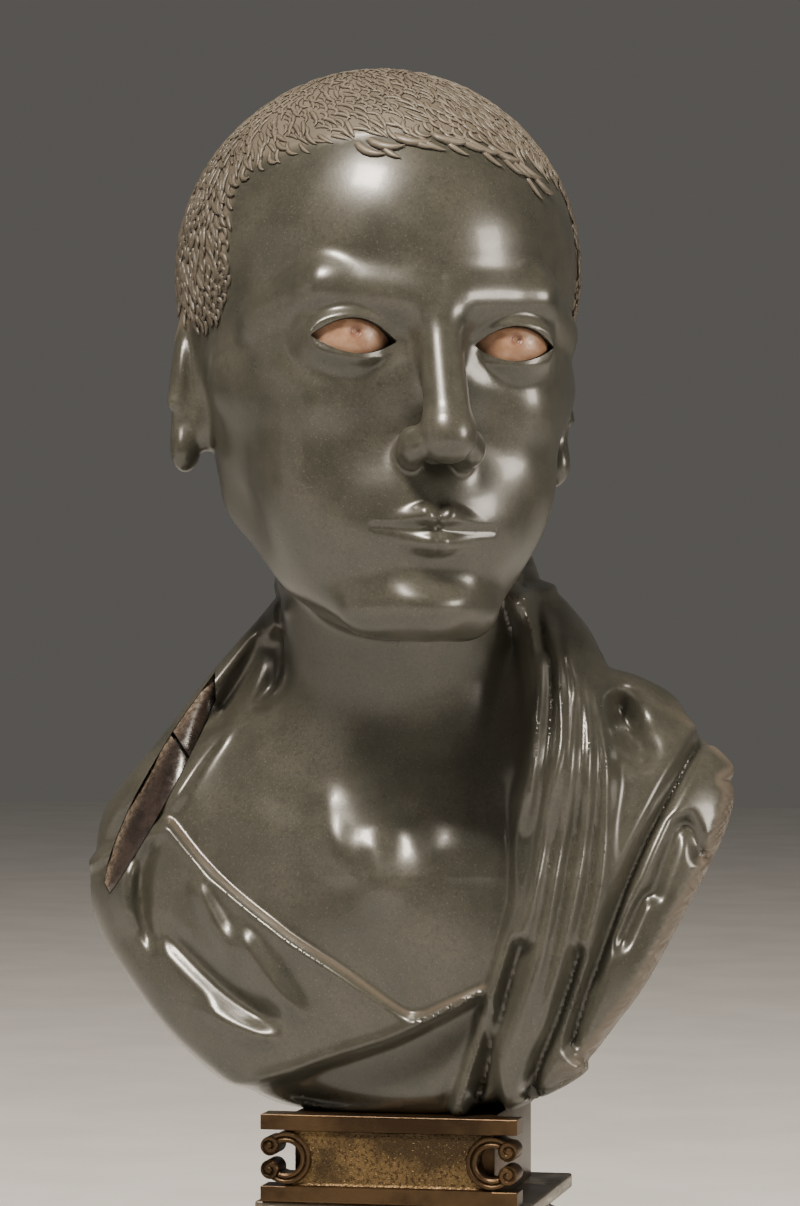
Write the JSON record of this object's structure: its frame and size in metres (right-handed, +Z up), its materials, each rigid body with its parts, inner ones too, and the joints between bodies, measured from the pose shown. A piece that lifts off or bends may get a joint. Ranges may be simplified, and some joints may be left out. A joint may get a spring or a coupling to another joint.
{
  "type": "roman_emperor_bust",
  "caption": "Roman portrait bust in polished dark stone with inlaid eyes, in tunic and toga, standing on a scrolled bronze tablet, a thin slab and a turned round foot.",
  "frame": {"origin": "centre of the foot's flat underside, on the surface that the bust stands on", "axes": "+Z up along the height, -Y the front of the tablet and the dress, +X to the viewer's right"},
  "size_m": [0.265, 0.2177, 0.5366],
  "materials": {
    "bust_stone": "polished dark greenish-grey stone, fine mottling, the hair left matter",
    "eye_marble": "pinkish marble, dull polish",
    "inset_stone": "almost black stone, rubbed polish",
    "bronze": "aged dark bronze, gold showing on the stippled field",
    "foot_stone": "dark polished stone"
  },
  "bodies": {
    "root": {"bust": "bust_stone", "eye_inlay_left": "eye_marble", "eye_inlay_right": "eye_marble", "shoulder_inset_upper": "inset_stone", "shoulder_inset_lower": "inset_stone", "tablet": "bronze", "slab": "bronze", "foot": "foot_stone"}
  },
  "joints": []
}
